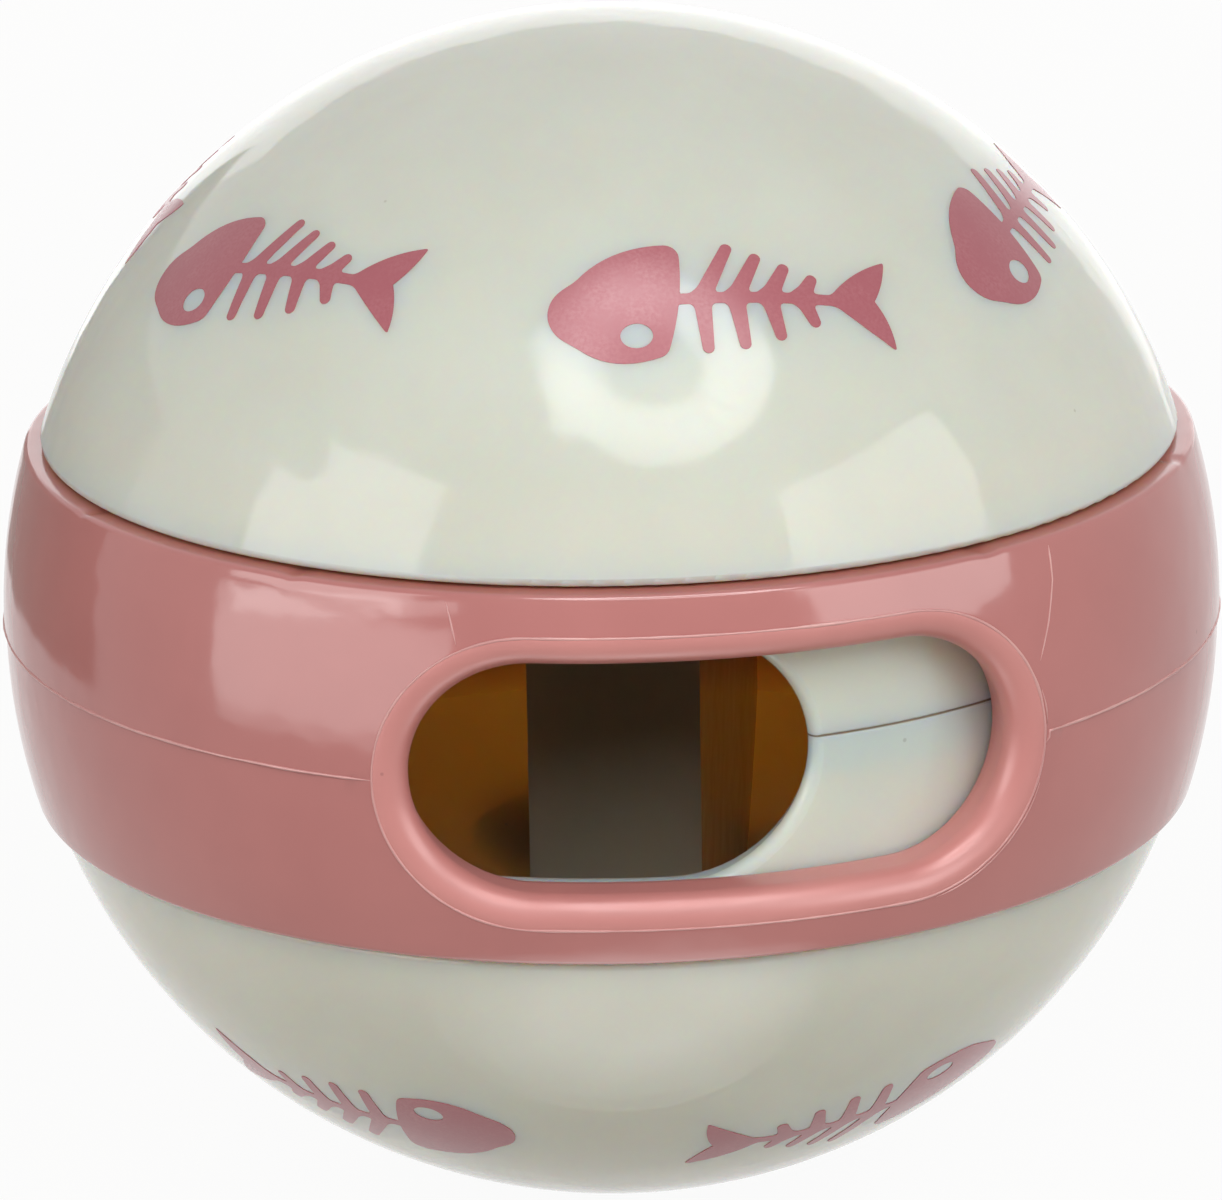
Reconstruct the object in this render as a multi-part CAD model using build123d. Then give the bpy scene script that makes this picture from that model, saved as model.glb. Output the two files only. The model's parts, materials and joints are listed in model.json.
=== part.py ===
from build123d import *
import os
from math import sqrt

# A treat dispensing ball: two half shells that push together, and a ring with a round-ended opening
# that turns round their middle and uncovers more or less of the window in the shells.
# Millimetres and degrees. +Z is up, the window faces -Y, and the base flat lies on Z = 0.

# Ring
ring_radius = 30.0          # its outside is a zone of a sphere
ring_half_height = 8.9
ring_thickness = 3.6        # at its middle, from the bore to the outside
ring_edge_round = 0.35
ring_turn = 18.1            # where the opening stands at rest, round the axis from the window
opening_half_length = 14.0
opening_band = 3.35         # from the opening to the edge of the ring, above and below
opening_round = 1.2         # of the opening's outer edge

# Half shells
ring_step = 0.6             # how far the ring stands proud of the domes
shell_wall = 1.8
seat_wall = 1.6             # wall of the neck that the ring turns on
dome_edge_round = 0.3
base_flat_radius = 6.0      # flat at the lower pole, which the ball stands on
seam_height = 0.65          # the seam between the halves, above the middle of the ring
seam_bevel = 0.12           # of the edges that meet there, which leave a fine groove
rim_wall = 0.75             # lower rim, which stands round the spigot of the upper half
spigot_length = 1.9
window_half_length = 12.2
window_margin = 0.65        # by which the window is taller than the opening, each way
window_height = 0.15        # middle of the window, above the middle of the ring
window_round = 0.55

# Keyed tower that holds the halves together, behind the axis so that they fit only one way
tower_half_width = 4.35
tower_front = 0.0           # its front wall stands in the plane of the axis
tower_wall = 1.4
plug_depth = 11.0           # how far the plug of the upper half reaches into the tower
plug_back_gap = 0.4         # between the end of the plug and the wall behind it
plug_wall = 1.2
plug_lead = 0.4             # chamfer at the end of the plug

# Clearances
ring_running_clearance = 0.2
ring_end_clearance = 0.15
lap_clearance = 0.1
plug_clearance = 0.1
cut_overrun = 2.0
pick_reach = 0.05           # how near to a surface an edge lies that belongs to it

# What follows from those sizes, measured from the middle of the ball
bore_radius = ring_radius - ring_thickness
opening_half_height = ring_half_height - opening_band
shell_radius = ring_radius - ring_step
cavity_radius = shell_radius - shell_wall
seat_radius = bore_radius - ring_running_clearance
seat_half_height = ring_half_height + ring_end_clearance
shoulder_radius = sqrt(shell_radius**2 - seat_half_height**2)
neck_radius = seat_radius - seat_wall
cavity_corner = sqrt(cavity_radius**2 - neck_radius**2)
window_half_height = opening_half_height + window_margin
rim_inner_radius = seat_radius - rim_wall
spigot_radius = rim_inner_radius - lap_clearance
spigot_end = seam_height - spigot_length
lap_floor = spigot_end - lap_clearance
base_height = sqrt(shell_radius**2 - base_flat_radius**2)


def corner(face, x, y):
    """The corner of a flat outline that lies nearest to a point."""
    return min(face.vertices(), key=lambda v: (v.X - x) ** 2 + (v.Y - y) ** 2)


def on_sphere(radius, x, side):
    """A point of the outline of a sphere, at a distance from the axis, above (1) or below (-1)."""
    return (x, side * sqrt(radius**2 - x**2))


def dome_arc(radius, start_x, end_x, side):
    """Part of the outline of a sphere between two distances from the axis."""
    middle_x = (start_x + end_x) / 2
    return ThreePointArc(
        on_sphere(radius, start_x, side), on_sphere(radius, middle_x, side), on_sphere(radius, end_x, side)
    )


def round_ended(half_length, half_height, distance, height=0):
    """A round-ended outline that faces out of the front of the ball, at a distance from the axis."""
    facing = Plane(origin=(0, -distance, height), x_dir=(1, 0, 0), z_dir=(0, -1, 0))
    return facing * SlotOverall(2 * half_length, 2 * half_height)


def through_cut(half_length, half_height, height, wall_radius):
    """A round-ended hole through the front of a wall whose inner side has a given radius."""
    nearest = sqrt(wall_radius**2 - half_length**2) - cut_overrun
    outline = round_ended(half_length, half_height, nearest, height)
    return extrude(outline, ring_radius + cut_overrun - nearest, dir=(0, -1, 0))


def lower_outline():
    side = -1
    face = make_face(
        Polyline((0, -base_height), (base_flat_radius, -base_height))
        + dome_arc(shell_radius, base_flat_radius, shoulder_radius, side)
        + Polyline(
            (shoulder_radius, -seat_half_height),
            (seat_radius, -seat_half_height),
            (seat_radius, seam_height),
            (rim_inner_radius, seam_height),
            (rim_inner_radius, lap_floor),
            (neck_radius, lap_floor),
            (neck_radius, -cavity_corner),
        )
        + dome_arc(cavity_radius, neck_radius, 0, side)
        + Line((0, -cavity_radius), (0, -base_height))
    )
    return fillet(corner(face, shoulder_radius, -seat_half_height), dome_edge_round)


def upper_outline():
    side = 1
    face = make_face(
        dome_arc(shell_radius, 0, shoulder_radius, side)
        + Polyline(
            (shoulder_radius, seat_half_height),
            (seat_radius, seat_half_height),
            (seat_radius, seam_height),
            (spigot_radius, seam_height),
            (spigot_radius, spigot_end),
            (neck_radius, spigot_end),
            (neck_radius, cavity_corner),
        )
        + dome_arc(cavity_radius, neck_radius, 0, side)
        + Line((0, cavity_radius), (0, shell_radius))
    )
    return fillet(corner(face, shoulder_radius, seat_half_height), dome_edge_round)


def turned(outline):
    """A flat outline, across and up, turned round the axis of the ball."""
    return revolve(Plane.XZ * outline, axis=Axis.Z)


def inside_walls():
    """Room inside the ball, up to half the thickness of its thinnest walls."""
    in_dome = Sphere(cavity_radius + shell_wall / 2)
    in_neck = Cylinder(neck_radius + (spigot_radius - neck_radius) / 2, 2 * shell_radius)
    return in_dome & in_neck


def upright_box(half_width, front, back, bottom, top):
    size = (2 * half_width, back - front, top - bottom)
    return Pos(0, (front + back) / 2, (bottom + top) / 2) * Box(*size)


def window_cut():
    return through_cut(window_half_length, window_half_height, window_height, neck_radius)


def round_window(half):
    """Rounds the outer edge of the window in one half."""
    middle_share = 0.5

    def borders_window(edge):
        middle = edge @ middle_share
        on_seat = abs(sqrt(middle.X**2 + middle.Y**2) - seat_radius) < pick_reach
        in_front = middle.Y < 0 and abs(middle.X) < window_half_length + pick_reach
        on_seam = abs(middle.Z - seam_height) < pick_reach
        on_shoulder = abs(abs(middle.Z) - seat_half_height) < pick_reach
        return on_seat and in_front and not on_seam and not on_shoulder

    return fillet(half.edges().filter_by(borders_window), window_round)


def seam_groove():
    outline = Polyline(
        (seat_radius - seam_bevel, seam_height),
        (seat_radius + seam_bevel, seam_height - 2 * seam_bevel),
        (seat_radius + seam_bevel, seam_height + 2 * seam_bevel),
        close=True,
    )
    return turned(make_face(outline))


def lower_tower():
    """The box on the floor of the lower half, open at its top, whose back is the wall of the ball."""
    outside = upright_box(tower_half_width, tower_front, shell_radius, -shell_radius, lap_floor)
    socket = upright_box(
        tower_half_width - tower_wall, tower_front + tower_wall, shell_radius, -shell_radius, lap_floor
    )
    return (outside - socket) & inside_walls()


def upper_key():
    """The hollow key of the upper half: its root stands on the roof and the back wall, and its plug,
    open at the lower end, stays clear of the wall of the lower half."""
    half_width = tower_half_width - tower_wall - plug_clearance
    front = tower_front + tower_wall + plug_clearance
    bottom = lap_floor - plug_depth
    wall_radius = min(neck_radius, sqrt(cavity_radius**2 - bottom**2)) - plug_back_gap
    back = sqrt(wall_radius**2 - half_width**2)
    inner = (half_width - plug_wall, front + plug_wall)
    root = upright_box(half_width, front, shell_radius, spigot_end, shell_radius)
    root = root - upright_box(*inner, shell_radius, spigot_end, shell_radius)
    plug = upright_box(half_width, front, back, bottom, spigot_end)
    plug = chamfer(plug.faces().sort_by(Axis.Z)[0].edges(), plug_lead)
    plug = plug - upright_box(*inner, back - plug_wall, bottom, spigot_end)
    return (root & inside_walls()) + plug


def lower_shell():
    return round_window(turned(lower_outline()) + lower_tower() - window_cut()) - seam_groove()


def upper_shell():
    return round_window(turned(upper_outline()) + upper_key() - window_cut()) - seam_groove()


def round_opening(ring):
    """Rounds the outer edge of the opening in the ring."""
    place_shares = (0, 0.5, 1)

    def borders_opening(edge):
        places = [edge @ share for share in place_shares]
        on_outside = all(abs(place.length - ring_radius) < pick_reach for place in places)
        return on_outside and all(abs(place.Z) < opening_half_height + pick_reach for place in places)

    return fillet(ring.edges().filter_by(borders_opening), opening_round)


def adjuster_ring():
    zone = Sphere(ring_radius) & Cylinder(ring_radius + cut_overrun, 2 * ring_half_height)
    zone = fillet(zone.edges().filter_by(GeomType.CIRCLE), ring_edge_round)
    opening = through_cut(opening_half_length, opening_half_height, 0, bore_radius)
    ring = zone - Cylinder(bore_radius, 2 * shell_radius) - opening
    return Rot(0, 0, ring_turn) * round_opening(ring)


nodes = {
    "lower_shell": lower_shell(),
    "upper_shell": upper_shell(),
    "adjuster_ring": adjuster_ring(),
}

os.makedirs("parts", exist_ok=True)
for name, solid in nodes.items():
    solid = Pos(0, 0, base_height) * solid
    solid.label = name
    export_step(solid, f"parts/{name}.step")
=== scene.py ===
import json
import math

import bmesh
import bpy
import numpy as np
from mathutils import Matrix, Quaternion, Vector, noise


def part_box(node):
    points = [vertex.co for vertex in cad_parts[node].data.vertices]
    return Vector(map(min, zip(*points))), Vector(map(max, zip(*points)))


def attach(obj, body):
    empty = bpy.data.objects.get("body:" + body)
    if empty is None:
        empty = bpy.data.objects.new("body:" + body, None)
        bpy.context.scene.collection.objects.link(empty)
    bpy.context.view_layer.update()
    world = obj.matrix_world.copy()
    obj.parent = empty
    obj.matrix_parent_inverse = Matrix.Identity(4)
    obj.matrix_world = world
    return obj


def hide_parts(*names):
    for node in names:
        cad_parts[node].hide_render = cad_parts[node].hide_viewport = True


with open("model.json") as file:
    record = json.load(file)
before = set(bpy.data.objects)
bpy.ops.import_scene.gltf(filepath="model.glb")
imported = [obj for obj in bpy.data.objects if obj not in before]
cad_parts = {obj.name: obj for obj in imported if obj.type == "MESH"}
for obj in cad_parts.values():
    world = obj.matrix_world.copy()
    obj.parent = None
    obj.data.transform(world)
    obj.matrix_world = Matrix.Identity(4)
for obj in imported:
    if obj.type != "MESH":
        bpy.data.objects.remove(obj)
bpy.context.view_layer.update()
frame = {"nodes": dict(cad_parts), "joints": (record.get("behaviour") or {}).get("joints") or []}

# A treat dispensing ball: cream half shells with printed fish bones, and a pink ring with a round-ended opening.
# Sizes are in millimetres and angles in degrees, measured from the middle of the ball. +Z is up and the window
# in the shells faces -Y. An angle round the axis is 0 at -Y and grows towards +X.
MM = 0.001

joints = {joint["name"]: joint for joint in frame["joints"]}
ring_low, ring_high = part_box("adjuster_ring")
CENTRE = Vector(joints["ring_turn"]["pos_m"]) / MM
RING_RADIUS = ring_high.x / MM
RING_HALF_HEIGHT = (ring_high.z - ring_low.z) / 2 / MM
SHELL_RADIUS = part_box("upper_shell")[1].z / MM - CENTRE.z

# Ring
RING_THICKNESS = 3.6
RING_EDGE_ROUND = 0.35
BORE_EDGE_ROUND = 0.15
RING_TURN = 18.1            # where the opening stands at rest
OPENING_HALF_LENGTH = 14.0
OPENING_HALF_HEIGHT = 5.55
OPENING_ROUND = 1.2         # of its outer edge
BORE_RADIUS = RING_RADIUS - RING_THICKNESS

# Shells: the seam between them, above the middle of the ring, and the room inside them
SEAM_HEIGHT = 0.65
# half the width of the line of painted shade along the seam
SEAM_SHADE_HALF_WIDTH = 0.06
INSIDE_RADIUS = 27.75       # of the domes' inner sides
INSIDE_NECK_RADIUS = 24.75

# Mesh of the ring: one column to a degree, and in front a patch of it that gives way to loops round the opening
COLUMNS = 360
PATCH_HALF_COLUMNS = 38
PATCH_HALF_HEIGHT = 8.2
PATCH_ROWS = 32
ROUND_STEPS = 18            # across the rounded edge of the opening
WALL_SHARES = (0.25, 0.5, 0.75)     # loops on the opening's straight wall
FLANK = 0.15                # of the outside next to the rounded edge, which still belongs to it
BORE_LOOPS, OUTSIDE_LOOPS = 6, 7    # steps between the opening and the edge of the patch
EDGE_POINTS, BORE_EDGE_POINTS = 7, 5
PARTING_LEDGE = 0.003       # height of the ledge at the parting line, as a share of the patch's height
SHARP_ANGLE = 40.0

# Mould marks on the ring
PARTING_STEP = 0.1          # by which the lower half of its outside lies inside the upper half at the parting line
FLASH_WIDTH = 0.15
FLASH_HEIGHT = 0.05
FINE_FLASH_WIDTH, FINE_FLASH_HEIGHT = 0.10, 0.03
BURR_LONG, BURR_SHORT = (0.10, 0.05), (0.12, 0.06)      # width and height
FLASH_STEP = 0.25           # between points of a line
FLASH_WANDER, FLASH_WANDER_SIZE, FLASH_WANDER_SEED = 0.03, 5.0, 1.3     # by which a line leaves its course
FLASH_SWELLS = ((3.1, 0.9, 0.5), (7.7, 3.0, 0.3))       # seed, size and amount of its unevenness
FLASH_LEAST = 0.3           # share of its height that it keeps
FLASH_END, FLASH_END_GAIN = 0.15, 0.4   # share of its width at an end, and growth from point to point
NICK_DEPTH = 0.12
NICK_WIDTH = 0.8            # degrees
NICK_PLACES = (-41.3, 27.5, 64.0, 118.0, 171.0, 236.0, 289.0)

# Prints
FISH_LENGTH = 16.5
PRINT_STEP = 0.1            # grid that the print's outline is cut from
PRINT_LIFT = 0.02
PRINT_THICKNESS = 0.05
PRINT_SPAN_U, PRINT_SPAN_V = (-0.03, 1.04), (-0.25, 0.25)       # room for the figure, in lengths of it

# Camera, fitted to the photograph
IMAGE_WIDTH, IMAGE_HEIGHT = 1222, 1200
CAMERA_DISTANCE = 350.0
CAMERA_AZIMUTH = 8.0
CAMERA_ELEVATION = 17.16
CAMERA_ROLL = 0.91
FOCAL_PIXELS = 7069.0
BALL_PIXEL = (611.6, 597.6)
SENSOR_WIDTH = 36.0
CLIP_START = 10.0


def direction(azimuth, elevation):
    """Unit vector from the middle of the ball."""
    a, e = math.radians(azimuth), math.radians(elevation)
    return Vector((math.sin(a) * math.cos(e), -math.cos(a) * math.cos(e), math.sin(e)))


def add_piece(name, points, faces, body, slot, *materials, shares=None):
    """A mesh of points in millimetres from the middle of the ball, riding on a body of the frame. Where it has more
    than one material, shares holds the index of each face's own."""
    mesh = bpy.data.meshes.new(name)
    mesh.from_pydata([(CENTRE + Vector(point)) * MM for point in points], [], faces)
    work = bmesh.new()
    work.from_mesh(mesh)
    bmesh.ops.recalc_face_normals(work, faces=work.faces)
    work.to_mesh(mesh)
    work.free()
    mesh.polygons.foreach_set("use_smooth", [True] * len(mesh.polygons))
    for material in materials:
        mesh.materials.append(material)
    if shares:
        mesh.polygons.foreach_set("material_index", shares)
    piece = bpy.data.objects.new(name, mesh)
    bpy.context.scene.collection.objects.link(piece)
    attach(piece, body)
    return piece


# ---------------------------------------------------------------------------------------------- materials

MASK_CORE = 0.6             # share of a spot's or line's width within which its mask is full
INSIDE_SHADE_BLEND = 0.05         # over which the painted amber shade of the inside, and its own scatter radius, set in
NOISE_BAND = (0.35, 0.65)   # values of a noise between which its effect goes from none to all

# Unevenness of moulded plastic: sizes across the surface, then depths
MOTTLE_SIZE, MOTTLE_DETAIL = 9.0, 3.0
FLECK_SPACING, FLECK_SHARE = 4.5, 0.028
POLISH_SIZE, POLISH_DETAIL, POLISH_BAND = 3.0, 3.0, (0.3, 0.7)
SINK_SIZE, SINK_DEPTH = 7.0, 0.06
WAVE_SIZE, WAVE_DEPTH = 2.4, 0.035
PEEL_SIZE, PEEL_DEPTH = 0.7, 0.003

# Unevenness of the ink
CLOUD_SIZE, CLOUD_DETAIL, CLOUD_ROUGHNESS = 2.2, 4.0, 0.6
GRAIN_SIZE = 0.18
FILM_SIZE, FILM_DEPTH = 0.5, 0.002


class Nodes:
    """A material's node tree, with short calls for the nodes that the plastics share."""

    def __init__(self, name):
        self.material = bpy.data.materials.new(name)
        self.material.use_nodes = True
        self.tree = self.material.node_tree
        self.shader = self.tree.nodes["Principled BSDF"]
        self.place = self.tree.nodes.new("ShaderNodeTexCoord").outputs["Object"]

    def link(self, source, target):
        self.tree.links.new(source, target)

    def noise(self, size_mm, detail=2.0, roughness=0.5):
        node = self.tree.nodes.new("ShaderNodeTexNoise")
        node.inputs["Scale"].default_value = 1 / (size_mm * MM)
        node.inputs["Detail"].default_value = detail
        node.inputs["Roughness"].default_value = roughness
        self.link(self.place, node.inputs["Vector"])
        return node.outputs["Fac"]

    def remap(self, value, low, high, to_low, to_high):
        node = self.tree.nodes.new("ShaderNodeMapRange")
        for socket, number in zip(("From Min", "From Max", "To Min", "To Max"), (low, high, to_low, to_high)):
            node.inputs[socket].default_value = number
        self.link(value, node.inputs["Value"])
        return node.outputs["Result"]

    def mix(self, factor, first, second):
        node = self.tree.nodes.new("ShaderNodeMix")
        node.data_type = "RGBA"
        self.link(factor, node.inputs["Factor"])
        for name, colour in (("A", first), ("B", second)):
            socket = [s for s in node.inputs if s.name == name and s.type == "RGBA"][0]
            if isinstance(colour, tuple):
                socket.default_value = (*colour, 1)
            else:
                self.link(colour, socket)
        return [s for s in node.outputs if s.type == "RGBA"][0]

    def specks(self, size_mm, share):
        """1 in small round spots, one in each cell of a given size, and 0 elsewhere."""
        node = self.tree.nodes.new("ShaderNodeTexVoronoi")
        node.inputs["Scale"].default_value = 1 / (size_mm * MM)
        self.link(self.place, node.inputs["Vector"])
        return self.remap(node.outputs["Distance"], share, share * MASK_CORE, 0, 1)

    def level_line(self, height_mm, half_width_mm):
        """1 along a fine level line at a height, and 0 elsewhere."""
        split = self.tree.nodes.new("ShaderNodeSeparateXYZ")
        self.link(self.place, split.inputs[0])
        away = self.tree.nodes.new("ShaderNodeMath")
        away.operation = "SUBTRACT"
        away.inputs[1].default_value = height_mm * MM
        self.link(split.outputs["Z"], away.inputs[0])
        size = self.tree.nodes.new("ShaderNodeMath")
        size.operation = "ABSOLUTE"
        self.link(away.outputs[0], size.inputs[0])
        return self.remap(size.outputs[0], half_width_mm * MM, half_width_mm * MM * MASK_CORE, 0, 1)

    def near(self, centre_mm, radius_mm, axes=(1, 1, 1)):
        """1 nearer to a point than a radius, measured along some of the axes, and 0 elsewhere."""
        vector = self.place
        for operation, operand in (("SUBTRACT", Vector(centre_mm) * MM), ("MULTIPLY", axes)):
            node = self.tree.nodes.new("ShaderNodeVectorMath")
            node.operation = operation
            node.inputs[1].default_value = operand
            self.link(vector, node.inputs[0])
            vector = node.outputs["Vector"]
        size = self.tree.nodes.new("ShaderNodeVectorMath")
        size.operation = "LENGTH"
        self.link(vector, size.inputs[0])
        return self.remap(size.outputs["Value"], radius_mm * MM, (radius_mm - INSIDE_SHADE_BLEND) * MM, 0, 1)

    def bump(self, height, depth_mm, below=None):
        node = self.tree.nodes.new("ShaderNodeBump")
        node.inputs["Distance"].default_value = depth_mm * MM
        self.link(height, node.inputs["Height"])
        if below:
            self.link(below, node.inputs["Normal"])
        return node.outputs["Normal"]

    def set(self, **sockets):
        for name, value in sockets.items():
            socket = self.shader.inputs[name.replace("_", " ")]
            if isinstance(value, bpy.types.NodeSocket):
                self.link(value, socket)
            else:
                socket.default_value = value


def moulded_plastic(name, pale, deep, fleck, gloss, ior, scatter=None, seam=None, inside=None):
    """Smooth moulded plastic: faint flow mottling, sparse flecks and a slightly uneven polish. Where light goes into
    it, scatter gives the share, the depth and the radius of each colour. Where it has a seam, a thin line of painted
    shade lies along it, given as the seam's height and colour. The inside of a shell may have a colour and a scatter
    radius of its own; that colour is painted shade, the dim amber light of the closed cavity."""
    nodes = Nodes(name)

    def within(outer, inner):
        in_neck = nodes.mix(nodes.near(CENTRE, INSIDE_NECK_RADIUS, (1, 1, 0)), outer, inner)
        return nodes.mix(nodes.near(CENTRE, INSIDE_RADIUS), outer, in_neck)

    mottle = nodes.remap(nodes.noise(MOTTLE_SIZE, MOTTLE_DETAIL), *NOISE_BAND, 0, 1)
    colour = nodes.mix(mottle, pale, deep)
    if inside:
        colour = within(colour, inside[0])
    colour = nodes.mix(nodes.specks(FLECK_SPACING, FLECK_SHARE), colour, fleck)
    if seam:
        colour = nodes.mix(nodes.level_line(seam[0], SEAM_SHADE_HALF_WIDTH), colour, seam[1])
    sinks = nodes.bump(nodes.noise(SINK_SIZE, detail=0.0), SINK_DEPTH)
    waves = nodes.bump(nodes.noise(WAVE_SIZE, detail=1.0), WAVE_DEPTH, sinks)
    nodes.set(
        Base_Color=colour,
        Roughness=nodes.remap(nodes.noise(POLISH_SIZE, POLISH_DETAIL), *POLISH_BAND, *gloss),
        IOR=ior,
        Normal=nodes.bump(nodes.noise(PEEL_SIZE), PEEL_DEPTH, waves),
    )
    if scatter:
        share, depth_mm, radius = scatter
        nodes.set(
            Subsurface_Weight=share,
            Subsurface_Radius=within(radius, inside[1]) if inside else radius,
            Subsurface_Scale=depth_mm * MM,
        )
    return nodes.material


def ink(name, full, thin, gloss, ior):
    """Screen-printed ink: a fine uneven film over the plastic."""
    nodes = Nodes(name)
    cloud = nodes.remap(nodes.noise(CLOUD_SIZE, CLOUD_DETAIL, CLOUD_ROUGHNESS), *NOISE_BAND, 0, 1)
    grain = nodes.remap(nodes.noise(GRAIN_SIZE), *NOISE_BAND, 0, 1)
    nodes.set(
        Base_Color=nodes.mix(grain, nodes.mix(cloud, full, thin), full),
        Roughness=nodes.remap(grain, 0, 1, *gloss),
        IOR=ior,
        Normal=nodes.bump(nodes.noise(FILM_SIZE), FILM_DEPTH),
    )
    return nodes.material


# The inside colour given to the cream shells is painted shade: a tan that stands in for the dim amber light in the
# closed cavity, on plastic that is the same cream inside and out.
CREAM = moulded_plastic(
    "cream_plastic", pale=(0.665, 0.645, 0.565), deep=(0.635, 0.615, 0.535), fleck=(0.52, 0.48, 0.40),
    gloss=(0.06, 0.09), ior=1.40, scatter=(0.6, 8.5, (1.0, 0.43, 0.17)),
    # The seam colour is painted shade: a thin brown line for the shade in the gap between the two halves.
    seam=(CENTRE.z + SEAM_HEIGHT, (0.26, 0.19, 0.13)), inside=((0.645, 0.53, 0.40), (1.0, 0.55, 0.30)),
)
PINK = moulded_plastic(
    "pink_plastic", pale=(0.46, 0.162, 0.150), deep=(0.43, 0.147, 0.136), fleck=(0.32, 0.11, 0.10),
    gloss=(0.08, 0.12), ior=1.56,
)
# The lip's base colour is lighter than the ring's: painted light, standing in for the extra light that the thin
# rounded edge of the opening gathers. Its rougher polish is its own.
PINK_LIP_PAINTED_LIGHT = moulded_plastic(
    "pink_lip_painted_light_plastic", pale=(0.55, 0.220, 0.203), deep=(0.52, 0.203, 0.188), fleck=(0.40, 0.15, 0.14),
    gloss=(0.30, 0.39), ior=1.56,
)
PALE_PINK = moulded_plastic(
    "flash_plastic", pale=(0.62, 0.34, 0.32), deep=(0.52, 0.24, 0.23), fleck=(0.40, 0.16, 0.15),
    gloss=(0.28, 0.40), ior=1.56,
)
PRINT_INK = ink(
    "print_ink", full=(0.37, 0.105, 0.126), thin=(0.41, 0.135, 0.155), gloss=(0.18, 0.25), ior=1.40,
)


# ---------------------------------------------------------------------------------------------- ring

def patch_loop():
    """The rectangle of columns and rows round the patch, counter-clockwise seen from outside."""
    across = range(-PATCH_HALF_COLUMNS, PATCH_HALF_COLUMNS)
    up = range(PATCH_ROWS)
    loop = [(column, 0) for column in across]
    loop += [(PATCH_HALF_COLUMNS, row) for row in up]
    loop += [(-column, PATCH_ROWS) for column in across]
    loop += [(-PATCH_HALF_COLUMNS, PATCH_ROWS - row) for row in up]
    return loop


def row_shares():
    """How far up the patch each row lies. Two rows stand close together at the parting line."""
    shares = np.linspace(0, 1, PATCH_ROWS + 1)
    middle = PATCH_ROWS // 2
    shares[middle - 1] = shares[middle] - PARTING_LEDGE
    return shares


ROW_SHARES = row_shares()


def outline_walk():
    """For each point of the patch's loop, its place on a round-ended outline: the share of the straight half where
    the centre of curvature lies, and the angle from that centre."""
    straight = OPENING_HALF_LENGTH - OPENING_HALF_HEIGHT
    eighth = math.pi / 4
    arc = (OPENING_HALF_HEIGHT + OPENING_ROUND) * eighth
    side = []
    for step in range(2 * PATCH_HALF_COLUMNS):
        way = step / (2 * PATCH_HALF_COLUMNS) * (2 * straight + 2 * arc)
        if way < arc:
            side.append((-1.0, -3 * eighth + way / arc * eighth))
        elif way < arc + 2 * straight:
            side.append(((way - arc) / straight - 1, -2 * eighth))
        else:
            side.append((1.0, -2 * eighth + (way - arc - 2 * straight) / arc * eighth))
    right = [(1.0, -eighth + share * 2 * eighth) for share in ROW_SHARES[:-1]]
    left = [(-1.0, math.pi + eighth - share * 2 * eighth) for share in ROW_SHARES[:0:-1]]
    return np.array(side + right + [(-centre, angle + math.pi) for centre, angle in side] + left)


WALK = outline_walk()


def opening_outline(offset):
    """Places x and z on the opening's outline, or on one that runs outside it by an offset."""
    radius = OPENING_HALF_HEIGHT + offset
    straight = OPENING_HALF_LENGTH - OPENING_HALF_HEIGHT
    return WALK[:, 0] * straight + radius * np.cos(WALK[:, 1]), radius * np.sin(WALK[:, 1])


def on_bore(offset, lift):
    x, z = opening_outline(offset)
    return np.stack([x, -np.sqrt(BORE_RADIUS**2 - x**2) - lift, z], 1)


def on_outside(offset):
    """Points of the ring's outside, on the outline that runs outside the rounded edge by an offset."""
    x, z = opening_outline(OPENING_ROUND + offset)
    points = np.stack([x, -np.sqrt((RING_RADIUS - OPENING_ROUND) ** 2 - x**2 - z**2), z], 1)
    return points * (RING_RADIUS / (RING_RADIUS - OPENING_ROUND))


def opening_loops():
    """Loops from the bore, up the straight wall and over the rounded edge, out to the outside of the ring. The
    rounded edge is the path of a ball that rolls along the wall and the outside."""
    inset = 0.3                 # of the middle of the bore's rounded edge, as a share of its radius
    places = ((1, 0), (inset, inset), (0, 1))
    loops = [on_bore(BORE_EDGE_ROUND * share, BORE_EDGE_ROUND * lift) for share, lift in places]
    x, z = opening_outline(OPENING_ROUND)
    centre = np.stack([x, -np.sqrt((RING_RADIUS - OPENING_ROUND) ** 2 - x**2 - z**2), z], 1)
    to_wall = np.stack([-np.cos(WALK[:, 1]), np.zeros(len(WALK)), -np.sin(WALK[:, 1])], 1)
    to_outside = centre / (RING_RADIUS - OPENING_ROUND)
    turn = np.arccos(np.sum(to_wall * to_outside, 1))[:, None]
    rim = centre + OPENING_ROUND * to_wall
    for share in WALL_SHARES:
        loops.append((1 - share) * loops[2] + share * rim)
    for share in np.linspace(0, 1, ROUND_STEPS + 1):
        away = (np.sin((1 - share) * turn) * to_wall + np.sin(share * turn) * to_outside) / np.sin(turn)
        loops.append(centre + OPENING_ROUND * away)
    loops.append(on_outside(FLANK))
    return loops


def outside_radius(z, stepped=1.0):
    """Distance of the ring's outside from the axis. The step at the parting line fades towards the lower edge."""
    step = PARTING_STEP * max(0.0, 1 + z / PATCH_HALF_HEIGHT) if z < 0 else 0.0
    return math.sqrt(RING_RADIUS**2 - z**2) - step * stepped


def arc_points(centre, radius, start, end, count):
    angles = np.radians(np.linspace(start, end, count))
    return [(centre[0] + radius * math.cos(a), centre[1] + radius * math.sin(a)) for a in angles]


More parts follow.
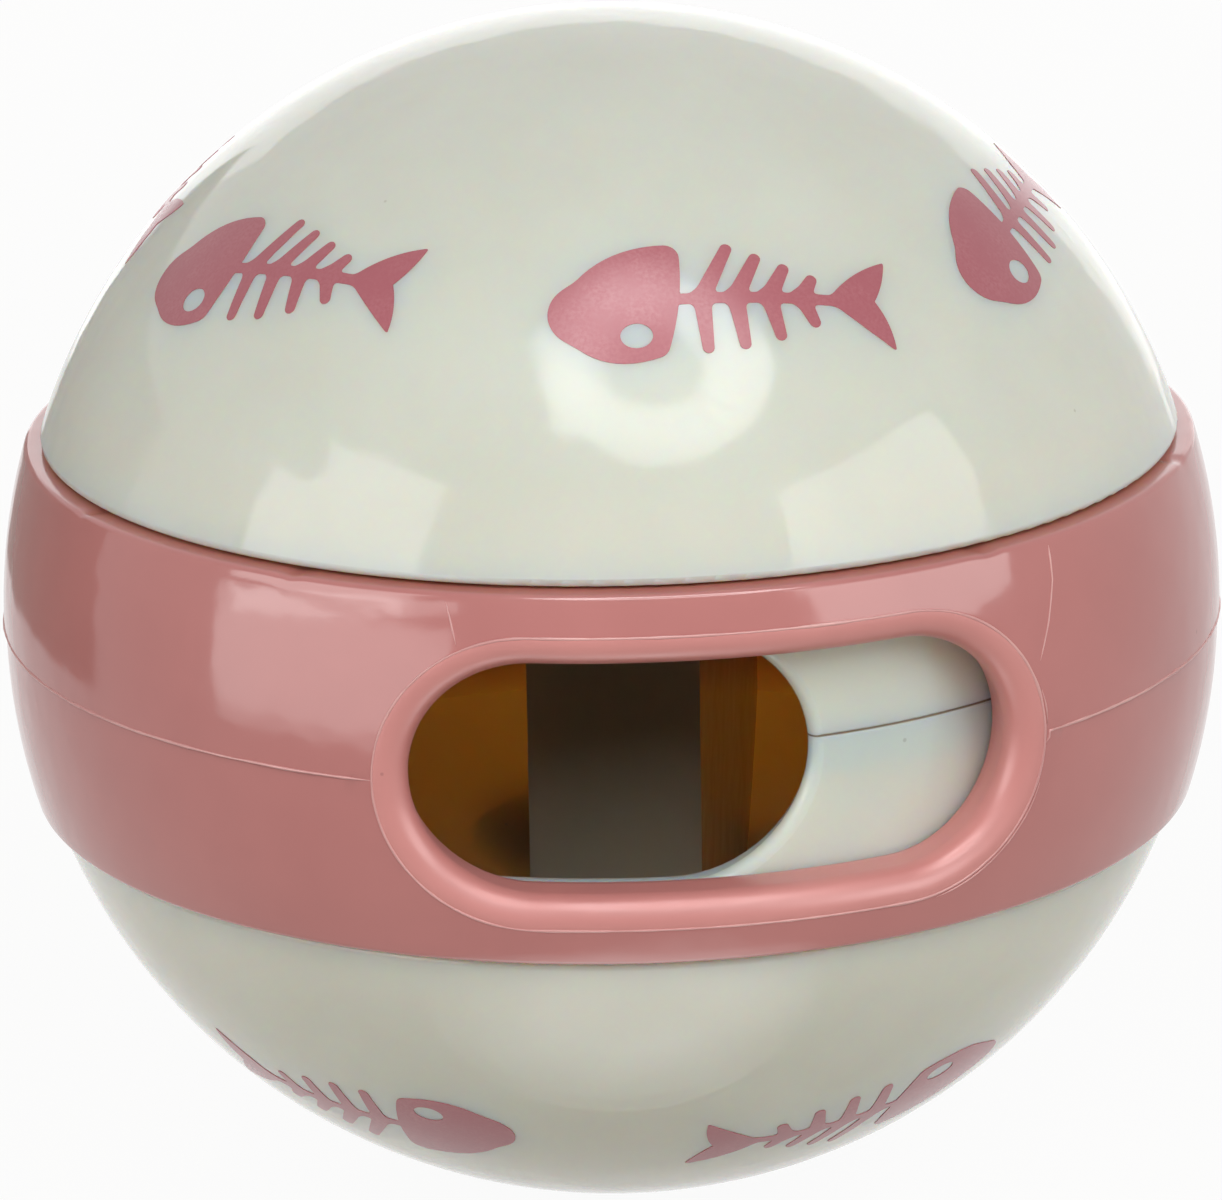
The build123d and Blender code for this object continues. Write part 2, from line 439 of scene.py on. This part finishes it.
def ring_profile():
    """Closed outline of the ring's section as distances and heights, and where its outer and bore patches start."""
    heights = PATCH_HALF_HEIGHT * (2 * ROW_SHARES - 1)
    outside = [(outside_radius(z), z) for z in heights]
    round_z = RING_HALF_HEIGHT - RING_EDGE_ROUND
    round_r = math.sqrt((RING_RADIUS - RING_EDGE_ROUND) ** 2 - round_z**2)
    start = math.degrees(math.atan2(round_z, round_r))
    bore_centre = (BORE_RADIUS + BORE_EDGE_ROUND, RING_HALF_HEIGHT - BORE_EDGE_ROUND)
    top = arc_points((round_r, round_z), RING_EDGE_ROUND, start, 90, EDGE_POINTS)
    top += [((round_r + bore_centre[0]) / 2, RING_HALF_HEIGHT)]
    top += arc_points(bore_centre, BORE_EDGE_ROUND, 90, 180, BORE_EDGE_POINTS)
    bore = [(BORE_RADIUS, z) for z in -heights]
    bottom = [(r, -z) for r, z in reversed(top)]
    return outside + top + bore + bottom, len(outside) + len(top)


def around(angle, distance, height):
    a = math.radians(angle)
    return (distance * math.sin(a), -distance * math.cos(a), height)


def turned(points, angle):
    """Points turned round the axis."""
    turn = Matrix.Rotation(math.radians(angle), 3, "Z")
    return [turn @ Vector(point) for point in points]


def nick(angle):
    """Depth of the small nicks in the ring's upper edge."""
    away = [(angle - place + 180) % 360 - 180 for place in NICK_PLACES]
    return NICK_DEPTH * sum(math.exp(-((degrees / NICK_WIDTH) ** 2)) for degrees in away)


def build_ring():
    """Points and faces of the ring, and for each face whether it belongs to the rounded edge of the opening."""
    profile, bore_start = ring_profile()
    rows = len(profile)
    degrees = 360 / COLUMNS
    points = []
    for column in range(COLUMNS):
        for r, z in profile:
            near_edge = max(0.0, (z - PATCH_HALF_HEIGHT) / (RING_HALF_HEIGHT - PATCH_HALF_HEIGHT))
            points.append(around(column * degrees, r, z - near_edge * nick(column * degrees)))

    def grid(column, row):
        return (column % COLUMNS) * rows + row % rows

    def in_patch(column, row):
        beside = column < PATCH_HALF_COLUMNS or column >= COLUMNS - PATCH_HALF_COLUMNS
        return beside and (row < PATCH_ROWS or bore_start <= row < bore_start + PATCH_ROWS)

    faces = [
        (grid(c, r), grid(c + 1, r), grid(c + 1, r + 1), grid(c, r + 1))
        for c in range(COLUMNS) for r in range(rows) if not in_patch(c, r)
    ]
    frame_loop = patch_loop()
    outer_loop = [grid(column, row) for column, row in frame_loop]
    bore_loop = [grid(column, bore_start + PATCH_ROWS - row) for column, row in frame_loop]
    loops = opening_loops()

    def fill(first, last, radius_at, steps):
        """Loops between an outline on the ring and the patch's rectangle, spread evenly over its surface."""
        start = np.array([(math.degrees(math.atan2(x, -y)), z) for x, y, z in first])
        end = np.array([(math.degrees(math.atan2(x, -y)), z) for x, y, z in (points[i] for i in last)])
        made = []
        for step in range(1, steps):
            share = step / steps
            places = (1 - share) * start + share * end
            made.append([around(a, radius_at(z, share), z) for a, z in places])
        return made

    chain = fill(loops[0], bore_loop, lambda z, share: BORE_RADIUS, BORE_LOOPS)[::-1]
    lip_start = len(chain) + 1
    chain += [list(map(tuple, loop)) for loop in loops]
    lip_end = len(chain) - 1
    chain += fill(loops[-1], outer_loop, outside_radius, OUTSIDE_LOOPS)
    count = len(frame_loop)
    in_lip = [0] * len(faces)
    ids = [bore_loop]
    for loop in chain:
        ids.append(list(range(len(points), len(points) + count)))
        points += loop
    ids.append(outer_loop)
    for k, (inner, outer) in enumerate(zip(ids, ids[1:])):
        for i in range(count):
            j = (i + 1) % count
            faces.append((inner[i], inner[j], outer[j], outer[i]))
            in_lip.append(int(lip_start <= k < lip_end))
    return turned(points, RING_TURN), faces, in_lip


def drop_loose(piece):
    """Drops the points of the grid inside the patch, where the loops stand in for them."""
    work = bmesh.new()
    work.from_mesh(piece.data)
    bmesh.ops.delete(work, geom=[v for v in work.verts if not v.link_faces], context="VERTS")
    work.to_mesh(piece.data)
    work.free()


ring_points, ring_faces, in_lip = build_ring()
# Faces of the opening's rounded edge get the lip material, whose lighter colour is painted light.
ring = add_piece("ring", ring_points, ring_faces, "ring", "ring_plastic", PINK, PINK_LIP_PAINTED_LIGHT, shares=in_lip)
drop_loose(ring)
ring.data.set_sharp_from_angle(angle=math.radians(SHARP_ANGLE))
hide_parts("adjuster_ring")


# ---------------------------------------------------------------------------------------------- mould marks

def wobble(place, seed, size_mm, amount):
    """A smooth wander of a value from place to place, the same in each run."""
    return amount * noise.noise(Vector(place) / size_mm + Vector((seed, 0, 0)))


def ridge(name, path, width, height, closed=False):
    """A fine raised line of uneven width and height along points on the ring's outside."""
    section = ((-0.5, -0.4), (-0.3, 0.7), (0.0, 1.0), (0.3, 0.7), (0.5, -0.4))
    path = [Vector(point) for point in path]
    count = len(path)
    points, faces = [], []
    for i, point in enumerate(path):
        before = path[i - 1] if i or closed else point
        after = path[(i + 1) % count] if i + 1 < count or closed else point
        normal = point.normalized()
        side = (after - before).cross(normal).normalized()
        swell = 1 + sum(wobble(point, *term) for term in FLASH_SWELLS)
        if not closed:
            swell *= min(1.0, FLASH_END + FLASH_END_GAIN * min(i, count - 1 - i))
        for across, up in section:
            rise = up * height * max(swell, FLASH_LEAST)
            points.append(point + side * across * width * swell + normal * rise)
    size = len(section)
    for i in range(count if closed else count - 1):
        j = (i + 1) % count
        for k in range(size):
            m = (k + 1) % size
            faces.append((i * size + k, i * size + m, j * size + m, j * size + k))
    if not closed:
        faces += [tuple(range(size)), tuple(range((count - 1) * size, count * size))]
    return add_piece(name, points, faces, "ring", "ring_plastic", PALE_PINK)


def ring_line(places):
    """Points on the ring's outside along straight runs between angles from the opening and heights."""
    points = []
    for (a0, z0), (a1, z1) in zip(places, places[1:]):
        run = math.hypot(RING_RADIUS * math.radians(a1 - a0), z1 - z0)
        steps = max(2, round(run / FLASH_STEP))
        for step in range(steps):
            share = step / steps
            points.append((a0 + (a1 - a0) * share, z0 + (z1 - z0) * share))
    points.append(places[-1])
    made = []
    for a, z in points:
        z += wobble((a, z, 0), FLASH_WANDER_SEED, FLASH_WANDER_SIZE, FLASH_WANDER)
        made.append(around(a + RING_TURN, math.sqrt(RING_RADIUS**2 - z**2), z))
    return made


def foot_line(offset, start, end):
    """Part of the outline at the foot of the rounded edge, between shares of its length and moved outward."""
    points = turned(on_outside(offset), RING_TURN)
    return points[round(start * len(points)):round(end * len(points))]


foot = on_outside(0)
FOOT_ANGLE = math.degrees(math.atan2(foot[:, 0].max(), -foot[np.argmax(foot[:, 0]), 1]))
ridge("flash_parting", ring_line([
    (FOOT_ANGLE + 0.1, -0.55), (FOOT_ANGLE + 0.5, -0.30), (FOOT_ANGLE + 0.6, 0.0), (360 - FOOT_ANGLE - 0.1, 0.0),
]), FLASH_WIDTH, FLASH_HEIGHT)
ridge("flash_opening", turned(foot, RING_TURN), FLASH_WIDTH, FLASH_HEIGHT, closed=True)
ridge("flash_burr_long", foot_line(0.16, 0.30, 0.40), *BURR_LONG)
ridge("flash_burr_short", foot_line(0.14, 0.43, 0.46), *BURR_SHORT)
ridge("flash_slide_right", ring_line([
    (34.8, 8.5), (34.7, 8.06), (34.46, 6.95), (33.23, 5.21), (31.64, 3.46),
]), FINE_FLASH_WIDTH, FINE_FLASH_HEIGHT)
ridge("flash_slide_left", ring_line([
    (-25.3, 8.5), (-24.79, 7.72), (-24.15, 6.6),
]), FINE_FLASH_WIDTH, FINE_FLASH_HEIGHT)


# ---------------------------------------------------------------------------------------------- prints

def smooth_min(a, b, width):
    """Joins two areas, given as distances, with a fillet in the corner between them."""
    share = np.clip(0.5 + 0.5 * (b - a) / width, 0, 1)
    return b + (a - b) * share - width * share * (1 - share)


def tapered(u, v, start, end, start_radius, end_radius):
    """Distance to a round-ended bar that tapers."""
    du, dv = end[0] - start[0], end[1] - start[1]
    t = np.clip(((u - start[0]) * du + (v - start[1]) * dv) / (du * du + dv * dv), 0, 1)
    away = np.hypot(u - start[0] - t * du, v - start[1] - t * dv)
    return away - (start_radius + (end_radius - start_radius) * t)


def bowed(start, end, bow, count=14):
    """Points of an arc from start up to end, bowed to the right of that way by a share of its length."""
    start, end = np.array(start), np.array(end)
    along = end - start
    right = np.array([along[1], -along[0]])
    return [start + t * along + 4 * bow * t * (1 - t) * right for t in np.arange(count) / count]


def area_distance(u, v, outline):
    """Signed distance to the area inside a closed outline."""
    away = np.full(u.shape, np.inf)
    inside = np.zeros(u.shape, bool)
    for a, b in zip(outline, outline[1:] + outline[:1]):
        du, dv = b - a
        t = np.clip(((u - a[0]) * du + (v - a[1]) * dv) / (du * du + dv * dv), 0, 1)
        away = np.minimum(away, np.hypot(u - a[0] - t * du, v - a[1] - t * dv))
        if a[1] != b[1]:
            inside ^= ((a[1] > v) != (b[1] > v)) & (u < a[0] + (v - a[1]) * du / dv)
    return np.where(inside, -away, away)


def bone_fish(u, v):
    """Signed distance to a fish skeleton of length 1, from its nose at u = 0 to its tail."""
    corner = 0.042              # radius that rounds the corners of the head
    bone = 0.017                # half the width of the spine, and of a rib at its tip
    rib_root = 0.026            # half the width of a rib at the spine
    head_fillet, rib_fillet, tail_fillet = 0.02, 0.016, 0.012
    tail_round = 0.004
    nose, crown, jaw = (0.062, -0.022), (0.352, 0.138), (0.292, -0.136)
    jaw_bow, gill_bow, brow_bow = 0.22, 0.040, 0.15
    snout, snout_radius = (0.102, -0.018), 0.097
    head = bowed(nose, jaw, jaw_bow) + bowed(jaw, crown, gill_bow) + bowed(crown, nose, brow_bow)
    head = area_distance(u, v, head) - corner
    head = smooth_min(head, np.hypot(u - snout[0], v - snout[1]) - snout_radius, head_fillet)
    eye_place, eye_radius, eye_stretch = (0.243, -0.105), 0.038, 1.2
    eye = np.hypot((u - eye_place[0]) / eye_stretch, v - eye_place[1]) - eye_radius
    head = np.maximum(head, -eye)
    spine_start, spine_end = (0.33, 0.0), (0.86, -0.005)
    body = tapered(u, v, spine_start, spine_end, bone, bone)
    pairs, first_rib, rib_span = 4, 0.44, 0.29
    for pair in range(pairs):
        share = pair / (pairs - 1)
        root = first_rib + rib_span * share
        upper = (root + 0.091 - 0.055 * share, 0.158 - 0.100 * share)
        lower = (root - 0.001 + 0.030 * share, -0.156 + 0.079 * share**2)
        for tip in (upper, lower):
            body = smooth_min(body, tapered(u, v, (root, 0.0), tip, rib_root, bone), rib_fillet)
    over, under = (0.825, 0.012), (0.825, -0.012)       # where the tail leaves the spine
    upper, lower, notch = (1.000, 0.136), (0.998, -0.140), (0.949, 0.004)
    tail = bowed(under, lower, 0.01) + bowed(lower, notch, 0.07) + bowed(notch, upper, 0.05)
    tail += bowed(upper, over, 0.06) + bowed(over, under, 0.0)
    tail = area_distance(u, v, tail) - tail_round
    return np.minimum(head, smooth_min(body, tail, tail_fillet))


def filled_outline(distance, places):
    """Points and faces of the region where sampled distances are below zero, its edge cut between samples."""
    rows, columns = distance.shape
    points, known, faces = [], {}, []

    def vertex(key, place):
        if key not in known:
            known[key] = len(points)
            points.append(tuple(place))
        return known[key]

    for i in range(rows - 1):
        for j in range(columns - 1):
            cell = [(i, j), (i, j + 1), (i + 1, j + 1), (i + 1, j)]
            if min(distance[c] for c in cell) >= 0:
                continue
            face = []
            for here, there in zip(cell, cell[1:] + cell[:1]):
                d0, d1 = distance[here], distance[there]
                if d0 < 0:
                    face.append(vertex((here, here), places[here]))
                if (d0 < 0) != (d1 < 0):
                    share = d0 / (d0 - d1)
                    key = (min(here, there), max(here, there))
                    face.append(vertex(key, places[here] + share * (places[there] - places[here])))
            if len(face) > 2:
                faces.append(tuple(face))
    return points, faces


def fish_film():
    """The print laid flat, in millimetres from its middle: points, faces and the edges round it."""
    u = np.arange(*PRINT_SPAN_U, PRINT_STEP / FISH_LENGTH)
    v = np.arange(*PRINT_SPAN_V, PRINT_STEP / FISH_LENGTH)
    grid_u, grid_v = np.meshgrid(u, v)
    places = np.stack([(grid_u - 0.5) * FISH_LENGTH, grid_v * FISH_LENGTH], -1)
    points, faces = filled_outline(bone_fish(grid_u, grid_v), places)
    edges = {edge for face in faces for edge in zip(face, face[1:] + face[:1])}
    return points, faces, sorted(edge for edge in edges if edge[::-1] not in edges)


FISH_PLACES, FISH_FACES, FISH_BORDER = fish_film()


def print_fish(name, body, azimuth, latitude, tilt):
    """Lays a print on a dome. A tilt of 0 puts the nose towards -X seen from outside, and 180 the other way."""
    out = direction(azimuth, latitude)
    right = Vector((0, 0, 1)).cross(out).normalized()
    up = out.cross(right)
    c, s = math.cos(math.radians(tilt)), math.sin(math.radians(tilt))
    outward = []
    for u, v in FISH_PLACES:
        tangent = right * (u * c - v * s) + up * (u * s + v * c)
        angle = tangent.length / SHELL_RADIUS
        outward.append(out * math.cos(angle) + tangent.normalized() * math.sin(angle))
    top = SHELL_RADIUS + PRINT_LIFT
    count = len(outward)
    points = [way * top for way in outward] + [way * (top - PRINT_THICKNESS) for way in outward]
    under = [tuple(i + count for i in reversed(face)) for face in FISH_FACES]
    rim = [(b, a, a + count, b + count) for a, b in FISH_BORDER]
    piece = add_piece(name, points, FISH_FACES + under + rim, body, "ring_plastic", PRINT_INK)
    piece.data.set_sharp_from_angle(angle=math.radians(SHARP_ANGLE))
    return piece


# Azimuth, latitude and tilt of each print. They are pressed on one by one, so they sit a little unevenly. Those that
# the photograph doesn't show follow at even distances.
UPPER_PRINTS = (
    (-41.1, 44.5, 9.8), (22.7, 44.5, -3.6), (79.2, 45.5, 7.0),
    (140.5, 45.0, 1.0), (201.0, 45.2, 5.0), (261.5, 44.8, -4.0),
)
LOWER_PRINTS = (
    (-27.7, -44.1, 173.5), (41.8, -45.8, 190.8), (114.5, -45.0, 182.0),
    (187.0, -45.6, 186.0), (259.5, -45.2, 179.0),
)
for k, place in enumerate(UPPER_PRINTS):
    print_fish(f"print_upper_{k + 1}", "upper_half", *place)
for k, place in enumerate(LOWER_PRINTS):
    print_fish(f"print_lower_{k + 1}", "lower_half", *place)


# ---------------------------------------------------------------------------------------------- shells

for name in ("lower_shell", "upper_shell"):
    shell = frame["nodes"][name]
    shell.data.materials.clear()
    shell.data.materials.append(CREAM)


# ---------------------------------------------------------------------------------------------- stage

def background_share(tree):
    """1 for rays from the camera, in mirrors and through glass, 0 for light that falls on the object."""
    path = tree.nodes.new("ShaderNodeLightPath")
    total = path.outputs["Is Camera Ray"]
    for name in ("Is Glossy Ray", "Is Transmission Ray"):
        add = tree.nodes.new("ShaderNodeMath")
        add.operation = "MAXIMUM"
        tree.links.new(total, add.inputs[0])
        tree.links.new(path.outputs[name], add.inputs[1])
        total = add.outputs[0]
    return total


FLOOR_RADIUS = 3000.0
FLOOR_SIDES = 96
FLOOR_COLOUR = (0.53, 0.50, 0.44)   # a warm white, which tints the light that it throws up
FLOOR_GLOW = 0.95           # share of plain white in the floor that the camera sees
AMBIENT = 0.12
LAMP_DISTANCE = 500.0
FLAG_SPAN = (-152.0, -100.0)        # azimuths between which the grey panel stands
FLAG_STEPS = 26
FLAG_DISTANCE = 125.0
FLAG_BOTTOM, FLAG_TOP = 1.0, 75.0
FLAG_GREY = (0.50, 0.48, 0.47)
GLOW = (3.4, -39.4)         # direction of the light patch that lies on the floor in front
GLOW_DISTANCE, GLOW_LEVEL = 44.1, 0.5
GLOW_DEPTHS = (12.0, 15.0, 18.0, 21.0, 24.0)        # of the oval lamps that together give it a soft edge
GLOW_STRETCH = 1.6          # by which they are wider than deep
GLOW_GAP = 0.05             # between those lamps, so that none hides another
DISH = (15.0, 60.5)         # direction of the round lamp in front
DISH_WIDTH, DISH_LEVEL = 40.0, 2.0
DISH_RING, DISH_LAMPS = 14.0, 24    # how far from its middle small lamps brighten its rim, and their number
DISH_LAMP_WIDTH, DISH_LAMP_LEVEL = 12.0, 1.75
DIFFUSE_DISTANCE, TABLE_DISTANCE = 600.0, 110.0


def build_floor():
    """A white floor that is seen from above only, so that it hides nothing in a view from below."""
    mesh = bpy.data.meshes.new("floor")
    edge = [2 * math.pi * k / FLOOR_SIDES for k in range(FLOOR_SIDES)]
    mesh.from_pydata([(FLOOR_RADIUS * MM * math.cos(a), FLOOR_RADIUS * MM * math.sin(a), 0) for a in edge], [],
                     [tuple(range(FLOOR_SIDES))])
    floor = bpy.data.objects.new("floor", mesh)
    bpy.context.scene.collection.objects.link(floor)
    material = bpy.data.materials.new("floor_white")
    material.use_nodes = True
    tree = material.node_tree
    tree.nodes.clear()
    diffuse = tree.nodes.new("ShaderNodeBsdfDiffuse")
    diffuse.inputs["Color"].default_value = (*FLOOR_COLOUR, 1)
    glow = tree.nodes.new("ShaderNodeEmission")
    scale = tree.nodes.new("ShaderNodeMath")
    scale.operation = "MULTIPLY"
    scale.inputs[1].default_value = FLOOR_GLOW
    tree.links.new(background_share(tree), scale.inputs[0])
    mix = tree.nodes.new("ShaderNodeMixShader")
    tree.links.new(scale.outputs[0], mix.inputs[0])
    tree.links.new(diffuse.outputs[0], mix.inputs[1])
    tree.links.new(glow.outputs[0], mix.inputs[2])
    one_sided = tree.nodes.new("ShaderNodeMixShader")
    tree.links.new(tree.nodes.new("ShaderNodeNewGeometry").outputs["Backfacing"], one_sided.inputs[0])
    tree.links.new(mix.outputs[0], one_sided.inputs[1])
    tree.links.new(tree.nodes.new("ShaderNodeBsdfTransparent").outputs[0], one_sided.inputs[2])
    output = tree.nodes.new("ShaderNodeOutputMaterial")
    tree.links.new(one_sided.outputs[0], output.inputs["Surface"])
    mesh.materials.append(material)


def build_world():
    world = bpy.data.worlds.new("studio")
    bpy.context.scene.world = world
    world.use_nodes = True
    tree = world.node_tree
    background = tree.nodes["Background"]
    background.inputs["Color"].default_value = (1, 1, 1, 1)
    level = tree.nodes.new("ShaderNodeMapRange")
    level.inputs["To Min"].default_value = AMBIENT
    tree.links.new(background_share(tree), level.inputs["Value"])
    tree.links.new(level.outputs["Result"], background.inputs["Strength"])


def add_lamp(name, azimuth, elevation, width, height, level, shape="RECTANGLE", seen_in="both",
             distance=LAMP_DISTANCE, roll=0.0):
    """A soft area lamp that faces the ball. Its direction is seen from the ball, from the camera's azimuth, its width
    and height are the angles that it fills, and its level is its brightness, where 1 is white. It is seen in diffuse
    light, in gloss, or in both."""
    lamp = bpy.data.lights.new(name, "AREA")
    lamp.shape = shape
    lamp.size = 2 * distance * math.tan(math.radians(width / 2)) * MM
    lamp.size_y = 2 * distance * math.tan(math.radians(height / 2)) * MM
    area = lamp.size * lamp.size_y * (math.pi / 4 if shape == "ELLIPSE" else 1)
    lamp.energy = level * math.pi * area
    away = direction(CAMERA_AZIMUTH + azimuth, elevation)
    obj = bpy.data.objects.new(name, lamp)
    obj.location = (CENTRE + away * distance) * MM
    obj.rotation_euler = (away.to_track_quat("Z", "Y") @ Quaternion((0, 0, 1), math.radians(roll))).to_euler()
    obj.visible_camera = False
    obj.visible_diffuse = seen_in != "gloss"
    obj.visible_glossy = seen_in != "diffuse"
    bpy.context.scene.collection.objects.link(obj)
    return obj


def add_flag():
    """A grey panel on the left that stands on the floor and is seen in gloss alone."""
    bottom, top = FLAG_BOTTOM - CENTRE.z, FLAG_TOP - CENTRE.z
    angles = np.linspace(*FLAG_SPAN, FLAG_STEPS + 1)
    points = [around(CAMERA_AZIMUTH + a, FLAG_DISTANCE, z) for a in angles for z in (bottom, top)]
    mesh = bpy.data.meshes.new("flag_left")
    mesh.from_pydata([(CENTRE + Vector(point)) * MM for point in points], [], [
        (2 * k, 2 * k + 2, 2 * k + 3, 2 * k + 1) for k in range(FLAG_STEPS)
    ])
    nodes = Nodes("flag_grey")
    nodes.set(Base_Color=(*FLAG_GREY, 1), Roughness=1.0)
    mesh.materials.append(nodes.material)
    flag = bpy.data.objects.new("flag_left", mesh)
    flag.visible_camera = flag.visible_diffuse = flag.visible_shadow = False
    bpy.context.scene.collection.objects.link(flag)


def add_camera():
    back = direction(CAMERA_AZIMUTH, CAMERA_ELEVATION)
    level = Vector((0, 0, 1)).cross(back).normalized()
    upright = back.cross(level)
    c, s = math.cos(math.radians(CAMERA_ROLL)), math.sin(math.radians(CAMERA_ROLL))
    right = c * level - s * upright
    up = s * level + c * upright
    pixel = CAMERA_DISTANCE / FOCAL_PIXELS
    place = back * CAMERA_DISTANCE
    place -= right * (BALL_PIXEL[0] - IMAGE_WIDTH / 2) * pixel
    place -= up * (IMAGE_HEIGHT / 2 - BALL_PIXEL[1]) * pixel
    data = bpy.data.cameras.new("camera")
    data.sensor_width = SENSOR_WIDTH
    data.lens = FOCAL_PIXELS * SENSOR_WIDTH / IMAGE_WIDTH
    data.clip_start = CLIP_START * MM
    camera = bpy.data.objects.new("camera", data)
    turn = Matrix((right, up, back)).transposed().to_4x4()
    camera.matrix_world = Matrix.Translation((CENTRE + place) * MM) @ turn
    bpy.context.scene.collection.objects.link(camera)
    bpy.context.scene.camera = camera


build_floor()
build_world()
add_flag()
# Azimuth, elevation, width, height and level of each lamp
add_lamp("key", 10, 41, 60, 34, 3.45, seen_in="diffuse", distance=DIFFUSE_DISTANCE)
add_lamp("fill_left", -57, 16.5, 43, 39, 2.0, seen_in="diffuse", distance=DIFFUSE_DISTANCE)
add_lamp("fill_right", 58, 19, 41, 29, 2.2, seen_in="diffuse", distance=DIFFUSE_DISTANCE)
add_lamp("fill_back", 176, 20, 60, 34, 3.0, seen_in="diffuse")
add_lamp("softbox_left", -56.6, 20, 35.4, 16, 3.2, seen_in="gloss")
add_lamp("softbox_left_top", -51, 31.5, 26, 7, 3.2, seen_in="gloss")
add_lamp("softbox_left_low", -46.4, 12.5, 40, 5, 2.1, seen_in="gloss", distance=TABLE_DISTANCE, roll=12.0)
add_lamp("table_left_near", -47.7, 2.2, 42.3, 17.6, 1.2, seen_in="gloss", distance=TABLE_DISTANCE)
add_lamp("table_left_far", -47.7, 0.9, 42.3, 20.1, 1.2, seen_in="gloss", distance=112.0)
for k, depth in enumerate(GLOW_DEPTHS):
    wide, deep = (2 * math.degrees(math.atan(size / 2 / GLOW_DISTANCE)) for size in (GLOW_STRETCH * depth, depth))
    glow = add_lamp(f"table_front_{k + 1}", *GLOW, wide, deep, GLOW_LEVEL, "ELLIPSE", "gloss",
                    distance=GLOW_DISTANCE - GLOW_GAP * k)
    glow.rotation_euler = (math.pi, 0, 0)           # it faces up
add_lamp("softbox_right", 58, 19, 41, 29, 3.0, seen_in="gloss")
add_lamp("dish", *DISH, DISH_WIDTH, DISH_WIDTH, DISH_LEVEL, "ELLIPSE", "gloss")
for k in range(DISH_LAMPS):
    turn = 2 * math.pi * k / DISH_LAMPS
    azimuth = DISH[0] + DISH_RING * math.sin(turn) / math.cos(math.radians(DISH[1]))
    elevation = DISH[1] + DISH_RING * math.cos(turn)
    add_lamp(f"dish_{k + 1}", azimuth, elevation, DISH_LAMP_WIDTH, DISH_LAMP_WIDTH, DISH_LAMP_LEVEL,
             "ELLIPSE", "gloss")
add_lamp("backdrop", 178, 9, 60, 32, 0.6, seen_in="gloss", distance=220.0)
add_camera()
bpy.context.scene.view_settings.view_transform = "Standard"
